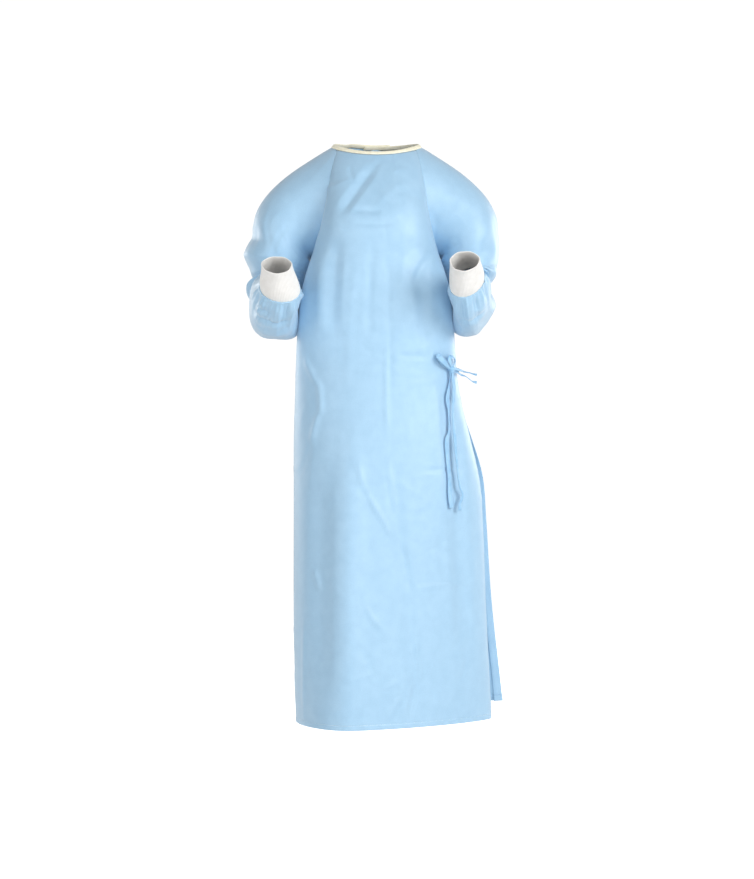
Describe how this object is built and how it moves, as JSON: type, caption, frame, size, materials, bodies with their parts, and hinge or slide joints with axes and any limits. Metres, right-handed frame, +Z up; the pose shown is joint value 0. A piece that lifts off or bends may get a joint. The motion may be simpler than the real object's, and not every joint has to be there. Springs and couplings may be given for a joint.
{
  "type": "surgical gown",
  "caption": "Long-sleeved wrap-back surgical gown in its worn form, with raglan sleeves, knitted cuffs, a bound round neck and a belt tied at the left hip",
  "frame": {"origin": "middle of the neck opening at the height of the wearer's shoulders beside the neck, where the gown hangs from them", "axes": "+Z up, -Y the way the wearer faces, +X the wearer's left"},
  "size_m": [0.5368, 0.4356, 1.1963],
  "materials": {
    "nonwoven": "matt light blue spunbond nonwoven polypropylene",
    "knit": "white ribbed cotton knit",
    "binding": "soft cream bias tape",
    "tie": "folded and sewn tape of the gown's own nonwoven"
  },
  "bodies": {
    "root": {"front": "nonwoven", "back_left": "nonwoven", "back_right": "nonwoven", "sleeve_left": "nonwoven", "sleeve_right": "nonwoven", "cuff_left": "knit", "cuff_right": "knit", "neck_binding": "binding", "belt_front": "tie", "belt_outer": "tie", "tie_knot": "tie", "tie_loop_large": "tie", "tie_loop_small": "tie", "tie_end_upper": "tie", "tie_end_lower": "tie", "tie_tail_long": "tie", "tie_tail_short": "tie"}
  },
  "joints": []
}
